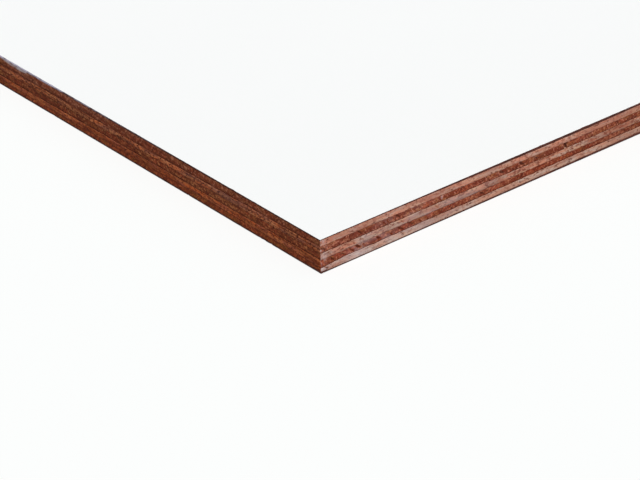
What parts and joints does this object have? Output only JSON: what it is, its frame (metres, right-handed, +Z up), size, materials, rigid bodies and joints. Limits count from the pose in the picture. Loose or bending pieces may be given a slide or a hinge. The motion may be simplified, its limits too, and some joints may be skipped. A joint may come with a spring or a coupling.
{
  "type": "plywood sheet",
  "caption": "Flat rectangular sheet of cross-laminated hardwood veneers with a white laminate on both faces, for building, fitting out and joinery.",
  "frame": {"origin": "centre of the underside, which lies on the floor", "axes": "+X along the sheet's long edges, which is also the grain of the face, core and back plies; +Y across the sheet; +Z up through its thickness, out of the top face"},
  "size_m": [2.44, 1.22, 0.012],
  "materials": {
    "white_laminate": "satin",
    "long_grain_veneer": "matte",
    "crossband_veneer": "matte"
  },
  "bodies": {
    "root": {"top_laminate": "white_laminate", "face_ply": "long_grain_veneer", "upper_crossband": "crossband_veneer", "core_ply": "long_grain_veneer", "lower_crossband": "crossband_veneer", "back_ply": "long_grain_veneer", "bottom_laminate": "white_laminate"}
  },
  "joints": []
}
